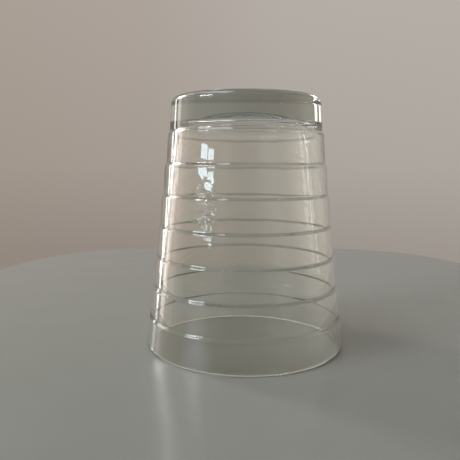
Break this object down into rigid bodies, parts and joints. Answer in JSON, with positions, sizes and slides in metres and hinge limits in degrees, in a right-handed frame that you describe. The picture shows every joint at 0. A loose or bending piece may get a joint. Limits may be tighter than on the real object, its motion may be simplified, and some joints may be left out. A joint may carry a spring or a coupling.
{
  "type": "drinking glass",
  "caption": "Clear pressed-glass tumbler with a stepped, tapering wall, a thick foot and a rounded lip, standing turned over on its rim. Holds a drink.",
  "frame": {"origin": "centre of the rim plane, on which the turned-over glass stands", "axes": "+Z along the glass's axis, from the rim up through the foot; the glass is round, so X and Y are alike"},
  "size_m": [0.0816, 0.0816, 0.1],
  "materials": {
    "clear_glass": "fire-polished, slightly wavy from pressing"
  },
  "bodies": {
    "root": {"rim_band": "clear_glass", "wall_band_1": "clear_glass", "wall_band_2": "clear_glass", "wall_band_3": "clear_glass", "wall_band_4": "clear_glass", "wall_band_5": "clear_glass", "wall_band_6": "clear_glass", "foot": "clear_glass"}
  },
  "joints": []
}
